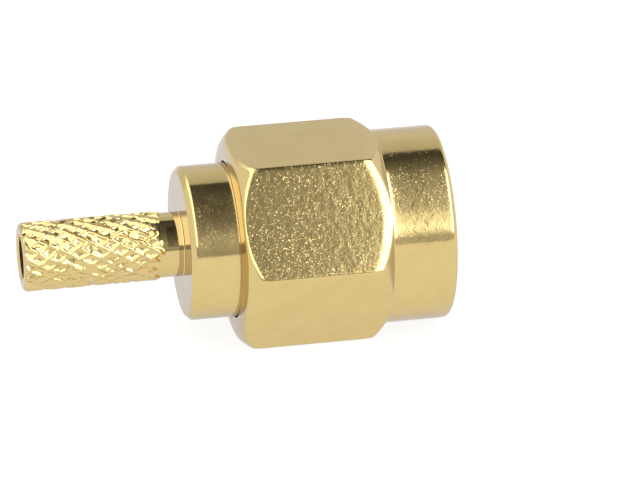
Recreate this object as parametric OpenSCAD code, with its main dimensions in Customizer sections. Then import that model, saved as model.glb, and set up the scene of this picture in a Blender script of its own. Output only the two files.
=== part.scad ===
// SMA plug, straight crimp type for thin coaxial cable, gold-plated brass.
// The axis of the connector is X: the mating end points to +X and the cable
// enters from -X. The origin lies on the axis in the mating reference plane,
// which is the front end of the outer contact. The part lies on one flat of
// its hexagon, so Z points up from that flat.

/* [Coupling nut] */
// Major diameter of the coupling thread (1/4-36 UNS)
thread_d = 6.35; // [5.2:0.01:7.7]
// Length of the threaded part, measured from the nut's front face
thread_length = 4.9; // [4:0.1:5.6]
// Least wall between the thread and a flat of the hexagon
nut_wall = 0.825; // [0.65:0.005:1.5]
// Length of the round skirt in front of the hexagon
skirt_length = 2.4; // [1.5:0.1:3.5]
// How far the skirt lies below the flats, on the radius
skirt_step = 0.02; // [0.02:0.01:0.3]
// How far the nut's front face stands in front of the reference plane
nut_front = 3.35; // [2.8:0.05:3.6]
// Rounding of the skirt's front edge
skirt_round = 0.22; // [0.1:0.01:0.42]
// Fillet between the hexagon's front chamfer and the skirt
neck_fillet = 0.3; // [0.05:0.05:0.5]
// Countersink in front of the thread
thread_entry = 0.25; // [0.1:0.01:0.3]
// Countersink of the nut's rear bore
rear_entry = 0.12; // [0.05:0.01:0.3]

/* [Body] */
// Length of the barrel that shows behind the nut
barrel_exposed = 2.1; // [1.5:0.1:4]
// Chamfer of the barrel's rear edge
barrel_chamfer = 0.17; // [0.05:0.01:0.4]
// Diameter of the outer contact sleeve
outer_contact_d = 4.55; // [3.7:0.01:5.5]
// Length of the outer contact sleeve, from the gasket's seat to its end
outer_contact_length = 2.75; // [2.5:0.05:3.2]
// Wall of the outer contact sleeve
outer_contact_wall = 0.225; // [0.15:0.005:0.4]
// Chamfer on the mouth of the outer contact sleeve
outer_contact_chamfer = 0.08; // [0.02:0.01:0.1]

/* [Crimp stem] */
// Length of the stem behind the barrel
stem_length = 6.53; // [5:0.01:9]
// Diameter of the smooth neck next to the barrel
stem_d = 2.64; // [2.4:0.01:3.2]
// Length of the smooth neck
stem_neck = 0.66; // [0.3:0.01:1.5]
// Height of the knurl's ridges above the neck, on the radius
knurl_height = 0.06; // [0.02:0.01:0.12]
// Depth of the knurl's pits below its ridges
knurl_depth = 0.1; // [0.03:0.01:0.15]
// Number of the knurl's ridges of each hand
knurl_starts = 18; // [12:1:30]
// Angle between the ridges and the axis
knurl_angle = 30; // [20:1:45]
// Diameter of the cable bore
cable_bore_d = 1.8; // [1.3:0.01:2.2]
// Fillet at the stem's root
stem_fillet = 0.18; // [0.05:0.01:0.3]
// Chamfer at the stem's free end
stem_chamfer = 0.12; // [0.05:0.01:0.2]
// Countersink of the cable bore's mouth
cable_entry = 0.08; // [0.02:0.01:0.15]

/* [Nut retention] */
// Thickness of the snap ring, along the axis
ring_thickness = 0.5; // [0.3:0.01:0.7]
// Radial width of the snap ring
ring_width = 0.62; // [0.5:0.01:0.8]
// Share of the ring's width that sits in the nut's groove
ring_grip = 0.45; // [0.35:0.01:0.6]
// Gap in the snap ring, in degrees
ring_gap = 38; // [15:1:90]
// Land of the barrel between the ring's groove and the gasket
ring_land = 1.05; // [0.6:0.05:2]
// Distance from the nut's rear face to the ring
ring_setback = 0.85; // [0.6:0.01:1.5]
// Play of the nut along the body
nut_float = 0.2; // [0.05:0.01:0.3]

/* [Gasket] */
// Thickness of the gasket
gasket_thickness = 0.85; // [0.6:0.01:1]
// Depth of the undercut in the sleeve that keeps the gasket on. It is deepest at
// the gasket's seat and runs out at its front.
gasket_undercut = 0.08; // [0.02:0.01:0.1]
// Rounding of the gasket's edges
gasket_round = 0.15; // [0.05:0.01:0.2]

/* [Centre contact and insulator] */
// Length of the insulator, back from the reference plane
insulator_length = 5.5; // [4.4:0.1:7]
// Diameter of the contact inside the insulator
contact_d = 1.27; // [1.05:0.01:1.55]
// Diameter of the contact's nose
pin_d = 0.92; // [0.75:0.01:1.02]
// How far the nose stands in front of the reference plane
pin_length = 2.2; // [1.8:0.05:2.6]
// Length of the nose's taper
pin_taper = 0.55; // [0.3:0.05:0.8]
// Diameter of the nose's blunt tip
pin_tip_d = 0.4; // [0.2:0.05:0.5]
// How far the contact's shoulder lies behind the reference plane
shoulder_recess = 0.08; // [0.02:0.01:0.3]
// Height of the barb that holds the contact in the insulator
barb_height = 0.1; // [0.05:0.01:0.2]
// Length of the barb
barb_length = 0.6; // [0.3:0.05:1]
// Diameter of the solder cup's bore
cup_d = 0.6; // [0.4:0.01:0.8]
// Depth of the solder cup
cup_depth = 1.9; // [1.2:0.1:2.5]
// Diameter of the solder cup's inspection hole
cup_window_d = 0.4; // [0.2:0.05:0.5]

/* [Clearances] */
// Between the barrel and the nut's bore, on the radius
barrel_clearance = 0.1; // [0.05:0.01:0.15]
// Between the barrel and the thread's major diameter, on the radius
thread_clearance = 0.075; // [0.05:0.005:0.15]
// Between the snap ring and its groove in the nut
ring_clearance = 0.03; // [0.02:0.01:0.05]
// Between the pressed-in pieces and their seats
seat_clearance = 0.01; // [0.005:0.005:0.02]

/* [Hidden] */
$fn = 96;
eps = 0.01;
GOLD = [0.86, 0.74, 0.44];
SPRING_BRONZE = [0.72, 0.53, 0.30];
SILICONE = [0.78, 0.24, 0.16];
PTFE = [0.95, 0.95, 0.93];

// Radii
thread_r = thread_d / 2;
flat_r = thread_r + nut_wall;
corner_r = flat_r / cos(30);
skirt_r = flat_r - skirt_step;
barrel_r = thread_r - thread_clearance;
nut_bore_r = barrel_r + barrel_clearance;
outer_contact_r = outer_contact_d / 2;
gasket_seat_r = outer_contact_r - gasket_undercut;
insulator_seat_r = outer_contact_r - outer_contact_wall;
insulator_r = insulator_seat_r - seat_clearance;
cable_bore_r = cable_bore_d / 2;
stem_r = stem_d / 2;
knurl_r = stem_r + knurl_height;
contact_r = contact_d / 2;
barb_r = contact_r + barb_height;
pin_r = pin_d / 2;

// The ring stands across the joint between the barrel and the nut's bore. The
// body's groove also takes the whole ring when it is squeezed for assembly.
ring_outer_r = nut_bore_r + ring_grip * ring_width;
ring_inner_r = ring_outer_r - ring_width;
nut_groove_r = ring_outer_r + ring_clearance;
body_groove_r = nut_bore_r - ring_width - ring_clearance;

// Places along the axis
front_x = nut_front;
skirt_x = front_x - skirt_length;
thread_x = front_x - thread_length;
gasket_x = -outer_contact_length;
gasket_front_x = gasket_x + gasket_thickness;
ring_play = nut_float / 2 + ring_clearance;
ring_x = gasket_x - ring_land - ring_play - ring_thickness;
nut_rear_x = ring_x - ring_setback;
barrel_x = nut_rear_x - barrel_exposed;
stem_x = barrel_x - stem_length;
knurl_x = barrel_x - stem_neck;
insulator_x = -insulator_length;
contact_x = insulator_x + shoulder_recess;

// Turns a shape that was revolved about Z so that it is revolved about X.
module along_x() {
    rotate([0, 90, 0]) children();
}

// Revolves a half section, drawn as [radius, place along the axis].
module turned() {
    along_x() rotate_extrude() children();
}

// The area between a square corner at the origin and the round of radius r that
// touches both of its sides. Added it is a fillet, taken away it rounds an edge.
module corner_round(r) {
    difference() {
        square(r);
        translate([r, r]) circle(r);
    }
}

// A rectangle of the half section, between two radii and two places.
module band(inner_r, outer_r, x0, x1) {
    translate([inner_r, x0]) square([outer_r - inner_r, x1 - x0]);
}

// Half section of the turned nut blank, before the flats are cut. Both cones
// stand at 45 degrees, and the front one runs out on the skirt in a fillet,
// which is left by a circle taken out of the corner between the two.
module nut_blank_section() {
    reach = neck_fillet * tan(22.5);
    cone_end_x = skirt_x - reach;
    round_centre = [skirt_r + neck_fillet, skirt_x];
    difference() {
        polygon([
            [0, nut_rear_x],
            [flat_r, nut_rear_x],
            [corner_r, nut_rear_x + corner_r - flat_r],
            [corner_r, cone_end_x - (corner_r - skirt_r)],
            [skirt_r + reach * cos(45), cone_end_x - reach * sin(45)],
            round_centre,
            [skirt_r, skirt_x],
            [skirt_r, front_x],
            [0, front_x],
        ]);
        translate(round_centre) circle(neck_fillet);
        translate([skirt_r + eps, front_x + eps]) mirror([1, 0]) mirror([0, 1])
            corner_round(skirt_round + eps);
    }
}

// Half section of everything that is bored out of the nut.
module nut_bore_section() {
    polygon([
        [0, nut_rear_x - eps],
        [nut_bore_r + rear_entry + eps, nut_rear_x - eps],
        [nut_bore_r, nut_rear_x + rear_entry],
        [nut_bore_r, thread_x],
        [thread_r, thread_x],
        [thread_r, front_x - thread_entry],
        [thread_r + thread_entry + eps, front_x + eps],
        [0, front_x + eps],
    ]);
    band(nut_bore_r - eps, nut_groove_r,
         ring_x - ring_clearance, ring_x + ring_thickness + ring_clearance);
}

module coupling_nut() {
    color(GOLD) difference() {
        intersection() {
            turned() nut_blank_section();
            translate([nut_rear_x - 1, 0, 0]) along_x()
                rotate(30) cylinder(r = corner_r, h = front_x - nut_rear_x + 2, $fn = 6);
        }
        turned() nut_bore_section();
    }
}

// Half section of the body: sleeve, barrel and stem are one turned piece.
module body_section() {
    difference() {
        union() {
            band(0, outer_contact_r, gasket_front_x, 0);
            polygon([
                [0, gasket_x - 1],
                [gasket_seat_r, gasket_x - 1],
                [gasket_seat_r, gasket_x],
                [outer_contact_r, gasket_front_x],
                [0, gasket_front_x],
            ]);
            band(0, barrel_r, barrel_x, gasket_x);
            band(0, stem_r, knurl_x, barrel_x + 1);
            translate([stem_r, barrel_x]) mirror([0, 1]) corner_round(stem_fillet);
        }
        // outer contact: chamfered mouth
        polygon([
            [outer_contact_r + eps, -outer_contact_chamfer - eps],
            [outer_contact_r + eps, eps],
            [outer_contact_r - outer_contact_chamfer - eps, eps],
        ]);
        // barrel: chamfered rear edge
        polygon([
            [barrel_r + eps, barrel_x + barrel_chamfer + eps],
            [barrel_r + eps, barrel_x - eps],
            [barrel_r - barrel_chamfer - eps, barrel_x - eps],
        ]);
        // groove for the snap ring, with room for the nut's play
        band(body_groove_r, barrel_r + 1, ring_x - ring_play, ring_x + ring_thickness + ring_play);
    }
}

// Half section of the bore through the body: cable bore and insulator seat.
module cable_bore_section() {
    polygon([
        [0, stem_x - eps],
        [cable_bore_r + cable_entry + eps, stem_x - eps],
        [cable_bore_r, stem_x + cable_entry],
        [cable_bore_r, insulator_x],
        [insulator_seat_r, insulator_x],
        [insulator_seat_r, 1],
        [0, 1],
    ]);
}

// The knurled length of the stem: ridges of both hands cross at points that lie
// in rings along the stem, turned by half a step from ring to ring, and each
// diamond between four crossings sinks to a pit at its middle.
module knurl() {
    steps = 2 * knurl_starts;
    nominal_row = PI * knurl_r / knurl_starts / tan(knurl_angle);
    first_x = stem_x + stem_chamfer;
    last_x = knurl_x - knurl_depth;
    bands = round((last_x - first_x) / nominal_row);
    row_x = [for (j = [0 : bands]) first_x + (last_x - first_x) * j / bands];
    pit_r = knurl_r - knurl_depth;
    function ring(x, crest_r, valley_r, turn) =
        [for (i = [0 : steps - 1]) let (r = (i + turn) % 2 == 0 ? crest_r : valley_r)
            [x, r * cos(180 * i / knurl_starts), r * sin(180 * i / knurl_starts)]];
    points = concat(
        ring(stem_x, knurl_r - stem_chamfer, knurl_r - stem_chamfer, 0),
        [for (j = [0 : bands]) each ring(row_x[j], knurl_r, pit_r, j)],
        ring(knurl_x, pit_r, pit_r, 0)
    );
    rings = bands + 3;
    // Each square between two rings is cut along the diagonal that joins its crests.
    function facets(j, i) =
        let (a = j * steps + i, b = j * steps + (i + 1) % steps, c = a + steps, d = b + steps)
        (i + j) % 2 == 1 ? [[a, d, b], [a, c, d]] : [[a, c, b], [b, c, d]];
    faces = concat(
        [[for (i = [0 : steps - 1]) i]],
        [for (j = [0 : rings - 2]) for (i = [0 : steps - 1]) each facets(j, i)],
        [[for (i = [0 : steps - 1]) rings * steps - 1 - i]]
    );
    polyhedron(points, faces);
}

module body() {
    color(GOLD) difference() {
        union() {
            turned() body_section();
            knurl();
        }
        turned() cable_bore_section();
    }
}

module snap_ring() {
    color(SPRING_BRONZE) along_x() rotate(180 + ring_gap / 2)
        rotate_extrude(angle = 360 - ring_gap)
            band(ring_inner_r, ring_outer_r, ring_x, ring_x + ring_thickness);
}

module gasket() {
    outer_r = barrel_r - seat_clearance;
    color(SILICONE) turned() difference() {
        polygon([
            [gasket_seat_r + seat_clearance, gasket_x],
            [outer_r, gasket_x],
            [outer_r, gasket_front_x - seat_clearance],
            [outer_contact_r + seat_clearance, gasket_front_x - seat_clearance],
        ]);
        translate([outer_r, gasket_front_x - seat_clearance]) mirror([1, 0]) mirror([0, 1])
            corner_round(gasket_round);
    }
}

module insulator() {
    hole_r = contact_r + seat_clearance;
    barb_x = insulator_x + insulator_length / 2;
    color(PTFE) turned() difference() {
        band(0, insulator_r, insulator_x, 0);
        band(-1, hole_r, insulator_x - 1, 1);
        band(-1, barb_r + seat_clearance, barb_x - seat_clearance,
             barb_x + barb_length + seat_clearance);
    }
}

module centre_contact() {
    barb_x = insulator_x + insulator_length / 2;
    taper_x = pin_length - pin_taper;
    color(GOLD) difference() {
        turned() polygon([
            [0, contact_x],
            [contact_r, contact_x],
            [contact_r, barb_x],
            [barb_r, barb_x],
            [contact_r, barb_x + barb_length],
            [contact_r, -shoulder_recess],
            [pin_r, -shoulder_recess],
            [pin_r, taper_x],
            [pin_tip_d / 2, pin_length],
            [0, pin_length],
        ]);
        translate([contact_x - 1, 0, 0]) along_x() cylinder(d = cup_d, h = cup_depth + 1);
        translate([contact_x + cup_depth / 2, 0, 0]) cylinder(d = cup_window_d, h = contact_d);
    }
}

body();
coupling_nut();
snap_ring();
gasket();
insulator();
centre_contact();
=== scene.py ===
"""Looks of an SMA plug, straight crimp type, in gold-plated brass.

The plug lies on one flat of its coupling nut, with its axis along X and its
mating end to +X. Lengths are in millimetres and become metres with MM, and
angles about the axis run from +Y towards +Z.
"""

import math

import bpy
import numpy as np
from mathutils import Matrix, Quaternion, Vector


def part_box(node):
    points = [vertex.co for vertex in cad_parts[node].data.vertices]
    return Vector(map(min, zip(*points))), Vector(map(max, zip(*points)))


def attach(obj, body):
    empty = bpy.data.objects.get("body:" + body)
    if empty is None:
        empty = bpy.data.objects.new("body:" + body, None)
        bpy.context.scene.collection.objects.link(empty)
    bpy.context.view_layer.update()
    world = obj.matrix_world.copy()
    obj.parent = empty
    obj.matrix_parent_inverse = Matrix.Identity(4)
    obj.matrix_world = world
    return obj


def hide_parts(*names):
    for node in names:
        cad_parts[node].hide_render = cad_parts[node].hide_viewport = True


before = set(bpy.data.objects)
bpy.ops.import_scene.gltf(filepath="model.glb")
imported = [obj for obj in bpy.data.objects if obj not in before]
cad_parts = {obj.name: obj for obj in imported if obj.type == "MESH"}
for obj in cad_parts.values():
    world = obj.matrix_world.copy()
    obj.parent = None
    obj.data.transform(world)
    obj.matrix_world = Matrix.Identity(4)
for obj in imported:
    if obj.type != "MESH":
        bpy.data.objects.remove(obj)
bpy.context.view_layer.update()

MM = 0.001
TURN = 2 * math.pi


def box_mm(node):
    """Lowest and highest corner of a CAD node, in millimetres."""
    return [[c / MM for c in corner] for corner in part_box(node)]


BODY_LO = box_mm("body")[0]
NUT_LO, NUT_HI = box_mm("coupling_nut")
RING_LO, RING_HI = box_mm("snap_ring")
GASKET_LO, GASKET_HI = box_mm("gasket")
INSULATOR_LO, INSULATOR_HI = box_mm("insulator")

# Lengths along the axis
BARREL_LENGTH = 2.1
NECK_LENGTH = 0.66
THREAD_LENGTH = 4.9
SKIRT_LENGTH = 2.4

# Places along the axis
STEM_X = BODY_LO[0]
NUT_REAR_X = NUT_LO[0]
FRONT_X = NUT_HI[0]
BARREL_X = NUT_REAR_X - BARREL_LENGTH
KNURL_END_X = BARREL_X - NECK_LENGTH
THREAD_X = FRONT_X - THREAD_LENGTH
SKIRT_X = FRONT_X - SKIRT_LENGTH

# Radii of the nut
FLAT_R = -NUT_LO[2]
SKIRT_R = FLAT_R - 0.035
NUT_BORE_R = 3.2
NUT_GROOVE_R = 3.509
THREAD_R = 3.175

# Radii of the body; the land is the part of the barrel inside the nut
BARREL_R = 3.15
LAND_R = 3.1
BODY_GROOVE_R = 2.55
STEM_R = 1.32
CABLE_BORE_R = 0.9
SLEEVE_R = 2.275
SLEEVE_BORE_R = 2.05

# Small features: the thread's countersink, the chamfer of the cable's bore and
# of the sleeve, the gasket's undercut, and the snap ring's play in both grooves
COUNTERSINK = 0.25
EDGE_CHAMFER = 0.08
GASKET_UNDERCUT = 0.08
NUT_RING_PLAY = 0.03
BODY_RING_PLAY = 0.13


# ---------------------------------------------------------------- geometry


def smooth_min(a, b, k):
    """The lesser of two heights, with the corner between them rounded over k."""
    h = np.clip(k - np.abs(a - b), 0, None)
    return np.minimum(a, b) - h * h / (4 * k)


def smooth_step(x, lo, hi):
    """0 up to lo, 1 from hi on, and a smooth rise between them."""
    t = np.clip((x - lo) / (hi - lo), 0, 1)
    return t * t * (3 - 2 * t)


def waves(rng, x, angle, count, turns, per_mm):
    """Smooth noise of about unit size on a cylinder, made of waves that close
    round it: at most turns waves about it, and per_mm waves along it."""
    total = np.zeros(np.broadcast(x, angle).shape)
    for _ in range(count):
        around = rng.integers(-turns, turns + 1)
        along = rng.uniform(-per_mm, per_mm) * TURN
        total = total + np.cos(around * angle + along * x + rng.uniform(0, TURN))
    return total / math.sqrt(count / 2)


# Faces that meet at more than this are shaded with a sharp edge
SHARP_ANGLE = math.radians(42)


class Rings:
    """Rings of points about the axis, which become one closed surface: the last
    ring is joined to the first."""

    def __init__(self, angle):
        self.angle = angle
        self.x, self.r = [], []

    def add(self, x, r):
        shape = np.ones_like(self.angle)
        self.x.append(x * shape)
        self.r.append(r * shape)

    def disc(self, x, r0, r1, shares):
        """Rings of a face square to the axis, at shares of the way across it."""
        for t in shares:
            self.add(x, r0 + (r1 - r0) * t)

    def path(self, points, reach=0.02):
        """Rings through a section's corners, each one kept crisp by a ring
        close to it on both sides."""
        for i, corner in enumerate(points):
            if i > 0:
                self.add(*self._near(corner, points[i - 1], reach))
            self.add(*corner)
            if i + 1 < len(points):
                self.add(*self._near(corner, points[i + 1], reach))

    @staticmethod
    def _near(here, there, reach):
        """The place that far from one corner towards another."""
        dx, dr = there[0] - here[0], there[1] - here[1]
        length = math.hypot(dx, dr)
        t = min(reach / length, 0.45)
        return here[0] + dx * t, here[1] + dr * t

    def build(self, name):
        """The surface as an object, its faces turned outwards."""
        x, r = np.array(self.x), np.array(self.r)
        n, m = x.shape
        co = np.stack([x, r * np.cos(self.angle), r * np.sin(self.angle)], -1) * MM
        i, j = np.meshgrid(np.arange(n), np.arange(m), indexing="ij")
        i2, j2 = (i + 1) % n, (j + 1) % m
        quads = np.stack([i * m + j, i2 * m + j, i2 * m + j2, i * m + j2], -1)
        quads = quads.reshape(-1, 4)
        co = co.reshape(-1, 3)
        a, b, c, d = (co[quads[:, k]] for k in range(4))
        volume = np.einsum("ij,ij->i", a, np.cross(b, c) + np.cross(c, d)).sum()
        if volume < 0:
            quads = quads[:, ::-1]
        mesh = bpy.data.meshes.new(name)
        mesh.from_pydata(co.tolist(), [], quads.tolist())
        mesh.polygons.foreach_set("use_smooth", np.ones(len(quads), bool))
        mesh.set_sharp_from_angle(angle=SHARP_ANGLE)
        obj = bpy.data.objects.new(name, mesh)
        bpy.context.scene.collection.objects.link(obj)
        return obj


def even_angles(count):
    return np.arange(count) * TURN / count


def nut_angles(count=360, crowd=0.6):
    """Angles round the nut, closer together at the hexagon's corners."""
    u = even_angles(count)
    return u - crowd / 6 * np.sin(6 * u)


# How much lower a flat is at the hexagon's corners than a plane would be
FLAT_BOW = 0.018


def hexagon_radius(angle, soft):
    """Radius of the hexagon, its corners rounded by soft."""
    off = np.abs(np.mod(angle, TURN / 6) - TURN / 12)
    near = FLAT_R / np.cos(off) - FLAT_BOW * (off / (TURN / 12)) ** 4
    far = FLAT_R / np.cos(TURN / 6 - off)
    return smooth_min(near, far, soft)


def falling(stops):
    """Places along the axis, and how far a surface has fallen at each, for a
    surface whose tilt in degrees is given at a few of them."""
    x = np.linspace(stops[0][0], stops[-1][0], 2400)
    tilt = np.interp(x, [a for a, _ in stops], [math.radians(b) for _, b in stops])
    step = np.tan(tilt) * (x[1] - x[0])
    return x, np.cumsum(step) - step[0]


# Section of the nut's turned blank in front: a cone, a soft fillet and the
# skirt, which has a rounded rim
CONE_END_X = SKIRT_X - 0.23
SKIRT_ROUND = 0.22
BLANK_X, BLANK_FALL = falling(
    [
        (SKIRT_X - 2.4, 45),
        (CONE_END_X, 45),
        (CONE_END_X + 0.02, 5),
        (CONE_END_X + 0.14, 1.8),
        (CONE_END_X + 0.38, 0.35),
        (CONE_END_X + 1.0, 0),
        (FRONT_X, 0),
    ]
)
BLANK_R = SKIRT_R + BLANK_FALL[-1] - BLANK_FALL

# The flats roll off softly before that cone
EDGE_WIDTH = 0.44
EDGE_X, EDGE_FALL = falling([(0, 0), (0.07, 2.7), (EDGE_WIDTH, 4.0)])

# Behind, a cone of 45 degrees cuts the corners, and a shallow dome inside it
# swells out to the bore
DOME_X = NUT_REAR_X - 0.1
DOME_R, DOME_RISE, DOME_RUN = 3.5, 0.5, 0.05

# Softness of the hexagon's corners along the flats, and what the turned ends
# add to it
CORNER_SOFT, FRONT_SOFTER, REAR_SOFTER = 0.17, 0.06, 0.1

# Softness of the edges where the two cones cut the hexagon. In front they are
# crisp at the middle of a flat and grow softer as the hexagon gets wider.
EDGE_SOFT, EDGE_SOFTER, REAR_EDGE_SOFT = 0.006, 0.14, 0.14


def blank_front(x):
    """Radius of the turned blank in front."""
    return np.interp(x, BLANK_X, BLANK_R)


def blank_meets(radius):
    """Where along the axis the blank in front has that radius."""
    return np.interp(radius, BLANK_R[::-1], BLANK_X[::-1])


def rounded(past, radius):
    """How much a rim rounded by radius falls short, that far past its start."""
    past = np.clip(past, 0, radius)
    return radius - np.sqrt(radius**2 - past**2)


def blank_rear(x):
    """Radius of the turned blank behind."""
    past = x - DOME_X
    return DOME_R + past + DOME_RISE * (1 - np.exp(-past / DOME_RUN))


def nut_outside(x, angle):
    """Radius of the nut's outside."""
    near_front = smooth_step(x, CONE_END_X - 1.0, CONE_END_X - 0.2)
    near_rear = 1 - smooth_step(x, NUT_REAR_X + 0.3, NUT_REAR_X + 0.9)
    soft = CORNER_SOFT + FRONT_SOFTER * near_front + REAR_SOFTER * near_rear
    hexagon = hexagon_radius(angle, soft)
    edge_x = blank_meets(hexagon - EDGE_FALL[-1]) - EDGE_WIDTH
    r = hexagon - np.interp(x - edge_x, EDGE_X, EDGE_FALL)
    edge_soft = EDGE_SOFT + EDGE_SOFTER * (hexagon - FLAT_R)
    r = smooth_min(r, blank_front(x), edge_soft)
    r = smooth_min(r, blank_rear(x), REAR_EDGE_SOFT)
    return r - rounded(x - (FRONT_X - SKIRT_ROUND), SKIRT_ROUND)


# The thread in the nut's bore: 36 turns to the inch. A ridge's foot and crest
# are shares of the pitch, and its first ridge grows over THREAD_RUN_IN.
THREAD_PITCH, THREAD_HEIGHT = 25.4 / 36, 0.36
RIDGE_FOOT, RIDGE_CREST = 0.8, 0.3
THREAD_RUN_IN = 0.5


def thread_radius(x, angle):
    """Radius of the right-handed thread in the nut's bore."""
    phase = np.mod(x / THREAD_PITCH - angle / TURN, 1)
    away = np.abs(phase - 0.5) * 2
    ridge = np.clip((RIDGE_FOOT - away) / (RIDGE_FOOT - RIDGE_CREST), 0, 1)
    grow = np.clip((x - THREAD_X) / THREAD_RUN_IN, 0, 1)
    countersink = THREAD_R + COUNTERSINK - (FRONT_X - x)
    return np.maximum(THREAD_R - THREAD_HEIGHT * ridge * grow, countersink)


def make_nut():
    angle = nut_angles()
    rings = Rings(angle)

    def outside(x):
        return nut_outside(np.full_like(angle, x), angle)

    entry_r = NUT_BORE_R + 0.04
    rings.disc(DOME_X, entry_r, outside(DOME_X), (0, 0.1, 0.6, 0.95))
    # closest together where the outside bends most
    for part in (
        DOME_X + 0.98 * np.linspace(0, 1, 48) ** 2,
        np.linspace(NUT_REAR_X + 1.0, SKIRT_X - 1.35, 14),
        np.linspace(SKIRT_X - 1.3, SKIRT_X + 0.2, 60),
        np.linspace(SKIRT_X + 0.4, FRONT_X - 0.32, 8),
        FRONT_X - SKIRT_ROUND * (1 - np.sin(np.linspace(0, math.pi / 2, 11))),
    ):
        for x in part:
            rings.add(x, outside(x))
    mouth_r = THREAD_R + COUNTERSINK
    rings.disc(FRONT_X, outside(FRONT_X), mouth_r, (0.12, 0.5, 0.88, 0.97))
    for x in np.linspace(FRONT_X, THREAD_X, 92):
        rings.add(x, thread_radius(np.full_like(angle, x), angle))
    groove_lo, groove_hi = RING_LO[0] - NUT_RING_PLAY, RING_HI[0] + NUT_RING_PLAY
    rings.path(
        [
            (THREAD_X - 0.02, NUT_BORE_R),
            (groove_hi, NUT_BORE_R),
            (groove_hi, NUT_GROOVE_R),
            (groove_lo, NUT_GROOVE_R),
            (groove_lo, NUT_BORE_R),
            (DOME_X + 0.04, NUT_BORE_R),
        ]
    )
    return rings.build("nut_shell")


# The knurl: ridges of both hands about the stem, rolled a little unevenly. For
# each hand: its sense, its share of the height, and how far before the knurl's
# end it stops.
KNURL_STARTS, KNURL_ANGLE = 18, math.radians(29)
KNURL_BASE_R, KNURL_HEIGHT = STEM_R - 0.003, 0.088
KNURL_HANDS = ((1, 0.78, 0.42), (-1, 1.12, 0.14))
KNURL_SEED = 7
RIDGE_WIDTH, LEAST_RIDGE_WIDTH = 0.075, 0.03
RIDGE_FADE = 0.35
# How far the ridges wander from their lines, as a share of their spacing
WANDER = 0.09
# What the lower ridge adds to the higher one where they cross
CROSSING = 0.3


def knurl_radius(x, angle):
    """Radius of the knurled stem. Every call draws the same random waves."""
    rng = np.random.default_rng(KNURL_SEED)
    spacing = TURN * STEM_R / KNURL_STARTS
    wander = waves(rng, x, angle, 26, 5, 0.5)
    ridges = []
    for hand, size, short in KNURL_HANDS:
        turn = angle * KNURL_STARTS / TURN + hand * math.tan(KNURL_ANGLE) * x / spacing
        turn = turn + WANDER * wander
        off = np.abs(np.mod(turn, 1) - 0.5) * spacing * math.cos(KNURL_ANGLE)
        width = RIDGE_WIDTH * (1 + 0.24 * waves(rng, x, angle, 30, 18, 1.4))
        ridge = np.exp(-((off / np.clip(width, LEAST_RIDGE_WIDTH, None)) ** 2))
        lift = 0.85 + 0.32 * waves(rng, x, angle, 40, 20, 1.6)
        end_x = KNURL_END_X - short
        ragged_x = x + 0.15 * waves(rng, x, angle, 12, 6, 0.2)
        fade = smooth_step(-ragged_x, -end_x, -end_x + RIDGE_FADE)
        ridges.append(ridge * size * np.clip(lift, 0.1, 1.35) * fade)
    height = np.maximum(*ridges) + CROSSING * np.minimum(*ridges)
    rough = 0.03 * waves(rng, x, angle, 60, 30, 2.5)
    height = height + rough * smooth_step(
        -x, -(KNURL_END_X - 0.3), -(KNURL_END_X - 0.6)
    )
    return KNURL_BASE_R + KNURL_HEIGHT * height


# The stem's end is this much lower than the neck, and the knurl's tops are this
# much higher than the stem's end
STEM_END_DROP, KNURL_TOP = 0.06, 0.14
# Each of the knurl's rings is this far from the next
KNURL_STEP = 0.031
# The knurl's ground rises to the smooth neck over this length
NECK_BLEND = 0.3
NECK_FILLET = 0.04
BARREL_CHAMFER, BARREL_ROUND = 0.2, 0.03


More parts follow.
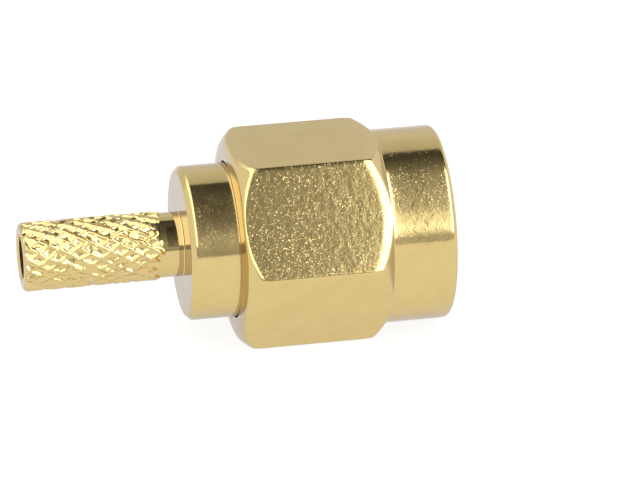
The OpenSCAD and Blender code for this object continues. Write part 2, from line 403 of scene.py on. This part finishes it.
def make_body():
    angle = even_angles(288)
    rings = Rings(angle)
    end_r = STEM_R - STEM_END_DROP
    rings.path(
        [
            (STEM_X + EDGE_CHAMFER, CABLE_BORE_R),
            (STEM_X, CABLE_BORE_R + EDGE_CHAMFER),
            (STEM_X, end_r - 0.03),
        ],
        0.015,
    )
    for x in np.arange(STEM_X + 0.015, KNURL_END_X, KNURL_STEP):
        r = knurl_radius(np.full_like(angle, x), angle)
        # the tops run down at 45 degrees to the stem's end
        edge = np.clip(0.12 - (x - STEM_X), 0, None)
        r = np.minimum(r, end_r + KNURL_TOP - edge)
        r = r + (STEM_R - r) * smooth_step(x, KNURL_END_X - NECK_BLEND, KNURL_END_X)
        rings.add(x, r)
    rings.add(KNURL_END_X + 0.02, STEM_R)
    rings.add(BARREL_X - 0.06, STEM_R)
    for a in np.linspace(0, math.pi / 2, 6):
        rings.add(
            BARREL_X - NECK_FILLET * (1 - math.sin(a)),
            STEM_R + NECK_FILLET * (1 - math.cos(a)),
        )
    rear_r = BARREL_R - BARREL_CHAMFER - BARREL_ROUND
    rings.disc(BARREL_X, STEM_R + 0.06, rear_r, [i / 3 for i in range(4)])
    for t in np.linspace(0, 1, 12):
        x = BARREL_CHAMFER * 1.3 * t**1.5
        rise = smooth_min(-BARREL_CHAMFER + x, 0.0, 0.06)
        rim = rounded(BARREL_ROUND - x, BARREL_ROUND)
        rings.add(BARREL_X + x, BARREL_R + rise - rim)
    groove_lo, groove_hi = RING_LO[0] - BODY_RING_PLAY, RING_HI[0] + BODY_RING_PLAY
    seat_x, gasket_x = GASKET_LO[0], GASKET_HI[0] + 0.01
    bore_end = INSULATOR_LO[0]
    # the barrel steps down to the land just inside the nut, and the last ring is
    # part of the way along the cable's bore, where the first one is joined to it
    rings.path(
        [
            (BARREL_X + 0.3, BARREL_R),
            (NUT_REAR_X + 0.3, BARREL_R),
            (NUT_REAR_X + 0.35, LAND_R),
            (groove_lo, LAND_R),
            (groove_lo, BODY_GROOVE_R),
            (groove_hi, BODY_GROOVE_R),
            (groove_hi, LAND_R),
            (seat_x, LAND_R),
            (seat_x, SLEEVE_R - GASKET_UNDERCUT),
            (gasket_x, SLEEVE_R),
            (-EDGE_CHAMFER, SLEEVE_R),
            (0, SLEEVE_R - EDGE_CHAMFER),
            (0, SLEEVE_BORE_R),
            (bore_end, SLEEVE_BORE_R),
            (bore_end, CABLE_BORE_R),
            (-10, CABLE_BORE_R),
        ]
    )
    return rings.build("body_shell")


def make_gasket():
    rings = Rings(even_angles(144))
    lo_x, hi_x = GASKET_LO[0], GASKET_HI[0]
    corner = 0.15
    outer_r, seat_r, front_r = GASKET_HI[2], SLEEVE_R - 0.07, SLEEVE_R + 0.01
    rings.path([(lo_x, seat_r), (lo_x, outer_r)], 0.03)
    for a in np.linspace(0, math.pi / 2, 9):
        rings.add(
            hi_x - corner * (1 - math.sin(a)), outer_r - corner * (1 - math.cos(a))
        )
    rings.path([(hi_x, outer_r - 0.17), (hi_x, front_r)], 0.03)
    return rings.build("gasket_ring")


def make_insulator():
    rings = Rings(even_angles(120))
    lo_x, hi_x = INSULATOR_LO[0], INSULATOR_HI[0]
    outer_r, hole_r = INSULATOR_HI[2], 0.645
    rings.path(
        [
            (lo_x, hole_r),
            (lo_x, outer_r),
            (hi_x - 0.05, outer_r),
            (hi_x, outer_r - 0.05),
            (hi_x, hole_r + 0.03),
            (hi_x - 0.03, hole_r),
        ],
        0.015,
    )
    return rings.build("insulator_core")


# --------------------------------------------------------------- materials


class Nodes:
    """Short calls for the nodes of one material or world."""

    def __init__(self, tree):
        self.tree = tree
        tree.nodes.clear()

    def node(self, kind, settings=None, **inputs):
        made = self.tree.nodes.new("ShaderNode" + kind)
        for key, value in (settings or {}).items():
            setattr(made, key, value)
        for key, value in inputs.items():
            self.put(made, key.replace("_", " "), value)
        return made

    def put(self, node, key, value):
        """Set an input, found by name or number, to a value or a node's output."""
        socket = node.inputs[int(key) if key.isdigit() else key]
        if isinstance(value, bpy.types.NodeSocket):
            self.tree.links.new(value, socket)
        else:
            socket.default_value = value

    def math(self, op, a, b=0.0, c=0.0):
        made = self.tree.nodes.new("ShaderNodeMath")
        made.operation = op
        for i, value in enumerate((a, b, c)):
            self.put(made, str(i), value)
        return made.outputs[0]

    def step(self, value, lo, hi, out_lo=0.0, out_hi=1.0):
        """out_lo up to lo, out_hi from hi on; hi may also be the lesser."""
        made = self.node(
            "MapRange",
            {"interpolation_type": "SMOOTHSTEP"},
            Value=value,
            From_Min=lo,
            From_Max=hi,
            To_Min=out_lo,
            To_Max=out_hi,
        )
        return made.outputs["Result"]

    def window(self, value, lo, lo_full, hi_full, hi):
        """1 from lo_full to hi_full, falling to 0 at lo and at hi."""
        rise, fall = self.step(value, lo, lo_full), self.step(value, hi, hi_full)
        return self.math("MULTIPLY", rise, fall)

    def mix(self, factor, a, b):
        """Number a where factor is 0, b where it is 1."""
        made = self.tree.nodes.new("ShaderNodeMix")
        made.data_type = "FLOAT"
        for i, value in ((0, factor), (2, a), (3, b)):
            self.put(made, str(i), value)
        return made.outputs[0]

    def mix_colour(self, factor, a, b):
        """Colour a where factor is 0, b where it is 1."""
        made = self.tree.nodes.new("ShaderNodeMix")
        made.data_type = "RGBA"
        for i, value in ((0, factor), (6, a), (7, b)):
            self.put(made, str(i), value)
        return made.outputs[2]

    def ramp(self, value, stops):
        """Grey levels at places from 0 to 1, blended between them."""
        made = self.tree.nodes.new("ShaderNodeValToRGB")
        self.put(made, "Fac", value)
        elements = made.color_ramp.elements
        while len(elements) < len(stops):
            elements.new(0.5)
        for element, (place, level) in zip(elements, stops):
            element.position = place
            element.color = (level, level, level, 1)
        return made.outputs["Color"]


GOLD_LOW, GOLD_HIGH = (0.690, 0.530, 0.226, 1), (0.720, 0.556, 0.241, 1)
GOLD_EDGE_TINT = (0.78, 0.785, 0.90, 1)
GRAIN_DEPTH = 4.2e-6
GOLD_ROUGHNESS = (0.05, 0.11)
NECK_ROUGHNESS, KNURL_ROUGHNESS = 0.04, 0.15
STEM_DEPTH_SHARE = 0.25


def gold(name, grain=1.0, haze=0.0, stem_x=None, neck_x=None):
    """Gold plate over brass: bright, with a faint mottle, patches of haze, a fine
    grain and small pits and specks that catch the light. The grain is shallower
    on the stem, behind stem_x. The neck there is the smoothest part, and the
    knurl, behind neck_x, the dullest. Both places are in metres."""
    material = bpy.data.materials.new(name)
    material.use_nodes = True
    n = Nodes(material.node_tree)
    place = n.node("TexCoord").outputs["Object"]
    cloud = n.node("TexNoise", Vector=place, Scale=900.0, Detail=3.0, Roughness=0.6)
    mottle = n.node("TexNoise", Vector=place, Scale=3500.0, Detail=2.0, Roughness=0.5)
    fine = n.node("TexNoise", Vector=place, Scale=12000.0, Detail=2.0, Roughness=0.6)
    pits = n.node(
        "TexVoronoi", {"feature": "F1"}, Vector=place, Scale=6500.0, Randomness=1.0
    )
    bowl = n.step(pits.outputs["Distance"], 0.06, 0.3, 1.0, 0.0)
    chance = n.node("SeparateColor", Color=pits.outputs["Color"]).outputs[0]
    pit = n.math("MULTIPLY", bowl, n.step(chance, 0.5, 0.75))
    patch = n.step(cloud.outputs[0], 0.35, 0.65)
    specks = n.step(fine.outputs[0], 0.60, 0.76)
    specks = n.math("MULTIPLY", specks, n.mix(patch, 0.2, 0.42))
    height = n.math("MULTIPLY_ADD", mottle.outputs[0], 0.75, specks)
    height = n.math("MULTIPLY_ADD", fine.outputs[0], 0.15, height)
    height = n.math("MULTIPLY_ADD", pit, -0.3, height)
    depth = GRAIN_DEPTH * grain
    rough = n.mix(fine.outputs[0], *GOLD_ROUGHNESS)
    rough = n.math("MULTIPLY_ADD", patch, haze, rough)
    if stem_x is not None:
        along = n.node("SeparateXYZ", Vector=place).outputs[0]
        on_stem = n.step(along, stem_x, stem_x - 0.0001)
        on_knurl = n.step(along, neck_x, neck_x - 0.0002)
        stem_rough = n.mix(on_knurl, NECK_ROUGHNESS, KNURL_ROUGHNESS)
        rough = n.mix(on_stem, rough, stem_rough)
        depth = n.mix(on_stem, depth, STEM_DEPTH_SHARE * depth)
    bump = n.node("Bump", Height=height, Strength=1.0, Distance=depth)
    colour = n.mix_colour(n.step(cloud.outputs[0], 0.3, 0.7), GOLD_LOW, GOLD_HIGH)
    shader = n.node(
        "BsdfPrincipled",
        Base_Color=colour,
        Metallic=1.0,
        Roughness=rough,
        Specular_Tint=GOLD_EDGE_TINT,
        Normal=bump.outputs[0],
    )
    out = n.node("OutputMaterial")
    n.put(out, "Surface", shader.outputs[0])
    return material


def plain(name, low, high, roughness, scale, depth, metallic=0.0):
    """A fine-grained material between two colours. The grain's depth is in metres,
    and scale says about how many grains there are to a metre."""
    material = bpy.data.materials.new(name)
    material.use_nodes = True
    n = Nodes(material.node_tree)
    place = n.node("TexCoord").outputs["Object"]
    cloud = n.node("TexNoise", Vector=place, Scale=scale / 6, Detail=3.0)
    fine = n.node("TexNoise", Vector=place, Scale=scale, Detail=4.0, Roughness=0.6)
    bump = n.node("Bump", Height=fine.outputs[0], Strength=1.0, Distance=depth)
    patch = n.step(cloud.outputs[0], 0.3, 0.7)
    shader = n.node(
        "BsdfPrincipled",
        Base_Color=n.mix_colour(patch, (*low, 1), (*high, 1)),
        Metallic=metallic,
        Roughness=n.mix(fine.outputs[0], roughness - 0.06, roughness + 0.06),
        Normal=bump.outputs[0],
    )
    out = n.node("OutputMaterial")
    n.put(out, "Surface", shader.outputs[0])
    return material


# ------------------------------------------------------------------ pieces


def dress(obj, material):
    obj.data.materials.clear()
    obj.data.materials.append(material)


nut_gold = gold("gold_nut")
body_gold = gold(
    "gold_body",
    grain=0.45,
    haze=0.03,
    stem_x=BARREL_X * MM,
    neck_x=(KNURL_END_X - 0.25) * MM,
)
pin_gold = gold("gold_contact", grain=0.5)
bronze = plain(
    "spring_bronze",
    low=(0.42, 0.25, 0.10),
    high=(0.55, 0.34, 0.15),
    roughness=0.3,
    scale=6000.0,
    depth=5e-7,
    metallic=1.0,
)
silicone = plain(
    "silicone",
    low=(0.46, 0.055, 0.025),
    high=(0.56, 0.085, 0.04),
    roughness=0.45,
    scale=5000.0,
    depth=1.5e-6,
)
ptfe = plain(
    "ptfe",
    low=(0.80, 0.80, 0.77),
    high=(0.88, 0.88, 0.86),
    roughness=0.42,
    scale=4000.0,
    depth=1e-6,
)

nut = make_nut()
dress(nut, nut_gold)
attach(nut, "nut")
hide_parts("coupling_nut")

body = make_body()
dress(body, body_gold)
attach(body, "plug")
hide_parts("body")

gasket = make_gasket()
dress(gasket, silicone)
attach(gasket, "plug")
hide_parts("gasket")

insulator = make_insulator()
dress(insulator, ptfe)
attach(insulator, "plug")
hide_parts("insulator")

# The pin and the snap ring are the CAD's own, with softer edges
EDGE_BEVEL = 0.03
for node, material in (("centre_contact", pin_gold), ("snap_ring", bronze)):
    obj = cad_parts[node]
    dress(obj, material)
    soften = obj.modifiers.new("edges", "BEVEL")
    soften.width = EDGE_BEVEL * MM
    soften.segments = 2
    soften.limit_method = "ANGLE"
    soften.angle_limit = math.radians(35)

# ------------------------------------------------------------------- stage

# The camera, fitted to the photograph: how far it stands to the side and over
# the object, and its roll, its distance and its scale
SIDE, RISE, ROLL = math.radians(10.9), math.radians(24.0), math.radians(-0.6)
AWAY = 200.0
PICTURE_WIDTH = 640
PIXELS_PER_MM = 24.5

# The place of the axis that the picture's middle is worked out from, and how
# many pixels right of and over that middle it is seen
TARGET_X = -1.47
PIXELS_RIGHT, PIXELS_UP = 2.6, 9.2


def mirrored(x):
    """How far towards +X a cylinder about the axis mirrors the camera's view at
    that place along it, as the X part of a direction."""
    return (x - TARGET_X) / AWAY + math.sin(SIDE) * math.cos(RISE)


# The floor is matt and glows too, so that the camera sees it white. The object
# sees a little less of that glow. Half its width, and its gap to the nut, are in
# metres.
FLOOR_GREY = 0.16
FLOOR_WHITE, FLOOR_GLOW = 0.87, 0.80
FLOOR_SIZE, FLOOR_GAP = 1.2, 2e-6


def make_floor():
    size = FLOOR_SIZE
    z = NUT_LO[2] * MM - FLOOR_GAP
    mesh = bpy.data.meshes.new("floor")
    corners = [(-size, -size, z), (size, -size, z), (size, size, z), (-size, size, z)]
    mesh.from_pydata(corners, [], [(0, 1, 2, 3)])
    floor = bpy.data.objects.new("floor", mesh)
    bpy.context.scene.collection.objects.link(floor)
    material = bpy.data.materials.new("floor")
    material.use_nodes = True
    n = Nodes(material.node_tree)
    matt = n.node("BsdfDiffuse", Color=(FLOOR_GREY, FLOOR_GREY, FLOOR_GREY, 1))
    seen = n.node("LightPath").outputs["Is Camera Ray"]
    level = n.mix(seen, FLOOR_GLOW, FLOOR_WHITE)
    glow = n.node("Emission", Color=(1, 1, 1, 1), Strength=level)
    both = n.node("AddShader")
    n.put(both, "0", matt.outputs[0])
    n.put(both, "1", glow.outputs[0])
    out = n.node("OutputMaterial")
    n.put(out, "Surface", both.outputs[0])
    dress(floor, material)


make_floor()


def turn_share(degrees):
    """Angle over the front horizon as a place on the studio's ramps."""
    return (degrees + 180) / 360


# Light of the studio by the angle in degrees from the front horizon over the
# top to the back: the left column is what the stem, the barrel and the flats
# mirror, the right column what the skirt mirrors. Between the two places of
# COLUMNS_X they blend.
LEFT_COLUMN = [
    (-180, 1.0), (-6, 1.0), (-3, 0.50), (3, 0.42), (12, 0.48), (27, 0.46),
    (43, 0.27), (58, 0.18), (74, 0.12), (92, 0.10), (110, 0.07), (117, 0.07),
    (120.5, 0.60), (148, 0.80), (178, 0.87),
]
RIGHT_COLUMN = [
    (-180, 1.0), (-6, 1.05), (0, 0.62), (7, 0.62), (11.5, 1.2), (16, 1.98),
    (21, 1.95), (25, 1.6), (33, 1.35), (37, 1.05), (42, 0.78), (54, 0.66),
    (66, 0.56), (80, 0.42), (93, 0.21), (108, 0.07), (117, 0.08), (121, 0.62),
    (150, 0.84), (178, 0.9),
]
COLUMNS_X = (mirrored(0.6), mirrored(1.6))
# A ramp holds levels up to 1, so they are divided by this and multiplied again
RAMP_SCALE = 2.0

# Softboxes: how each one fades in and out across, by the X part of a direction,
# and in height, by the angle over the front horizon, and its level of light. The
# first is on the mating end's side, the second mostly on the cable's.
SOFTBOXES = [
    ((0.255, 0.29, 0.58, 0.64), (6, 12, 82, 95), 4.4),
    ((-0.68, -0.6, 0.05, 0.10), (14, 20, 120, 150), 2.1),
]

# The dark gap beside the second softbox, which the neck mirrors, and the share
# of the light that is left in it
GAP_ACROSS = (
    mirrored(KNURL_END_X - 1.2),
    mirrored(KNURL_END_X - 0.4),
    mirrored(BARREL_X + 0.2),
    mirrored(BARREL_X + 0.9),
)
GAP_HEIGHT = (8, 20, 85, 95)
GAP_SHARE = 0.33

# Both ends of the room, and what is below the horizon
ENDS_X, ENDS_LEVEL = (0.60, 0.70), 1.0
BELOW_Z, BELOW_LEVEL = (0.0, -0.03), 0.8


def make_world():
    world = bpy.data.worlds.new("studio")
    bpy.context.scene.world = world
    world.use_nodes = True
    n = Nodes(world.node_tree)
    parts = n.node("SeparateXYZ", Vector=n.node("TexCoord").outputs["Generated"])
    x, y, z = parts.outputs
    over = n.math("ARCTAN2", z, n.math("MULTIPLY", y, -1.0))
    degrees = n.math("MULTIPLY", over, 360 / TURN)
    share = n.math("MULTIPLY_ADD", over, 1 / TURN, 0.5)

    def column(levels):
        stops = [(turn_share(a), v / RAMP_SCALE) for a, v in levels]
        return n.math("MULTIPLY", n.ramp(share, stops), RAMP_SCALE)

    def inside(across, height):
        return n.math("MULTIPLY", n.window(x, *across), n.window(degrees, *height))

    room = n.mix(n.step(x, *COLUMNS_X), column(LEFT_COLUMN), column(RIGHT_COLUMN))
    gap = inside(GAP_ACROSS, GAP_HEIGHT)
    room = n.math("MULTIPLY", room, n.step(gap, 0.0, 1.0, 1.0, GAP_SHARE))
    for across, height, level in SOFTBOXES:
        room = n.mix(inside(across, height), room, level)
    room = n.mix(n.step(n.math("ABSOLUTE", x), *ENDS_X), room, ENDS_LEVEL)
    room = n.mix(n.step(z, *BELOW_Z), room, BELOW_LEVEL)
    path = n.node("LightPath")
    studio = n.node("Background", Color=(1, 1, 1, 1), Strength=room)
    backdrop = n.node("Background", Color=(1, 1, 1, 1), Strength=1.0)
    both = n.node("MixShader")
    n.put(both, "0", path.outputs["Is Camera Ray"])
    n.put(both, "1", studio.outputs[0])
    n.put(both, "2", backdrop.outputs[0])
    out = n.node("OutputWorld")
    n.put(out, "Surface", both.outputs[0])
    world.cycles.sampling_method = "MANUAL"
    world.cycles.sample_map_resolution = 1024


make_world()

# ------------------------------------------------------------------ camera


def make_camera():
    side_sin, side_cos = math.sin(SIDE), math.cos(SIDE)
    rise_sin, rise_cos = math.sin(RISE), math.cos(RISE)
    back = Vector((-side_sin * rise_cos, -side_cos * rise_cos, rise_sin))
    right = Vector((side_cos, -side_sin, 0))
    up = Vector((side_sin * rise_sin, side_cos * rise_sin, rise_cos))
    target = Vector((TARGET_X, 0, 0))
    target -= right * (PIXELS_RIGHT / PIXELS_PER_MM)
    target -= up * (PIXELS_UP / PIXELS_PER_MM)
    data = bpy.data.cameras.new("camera")
    data.sensor_width = 36
    data.lens = PIXELS_PER_MM * AWAY * data.sensor_width / PICTURE_WIDTH
    data.clip_start, data.clip_end = 0.01, 10
    camera = bpy.data.objects.new("camera", data)
    bpy.context.scene.collection.objects.link(camera)
    camera.location = (target + back * AWAY) * MM
    camera.rotation_mode = "QUATERNION"
    roll = Quaternion((0, 0, 1), ROLL)
    camera.rotation_quaternion = (-back).to_track_quat("-Z", "Y") @ roll
    bpy.context.scene.camera = camera


make_camera()
bpy.context.scene.view_settings.view_transform = "Standard"
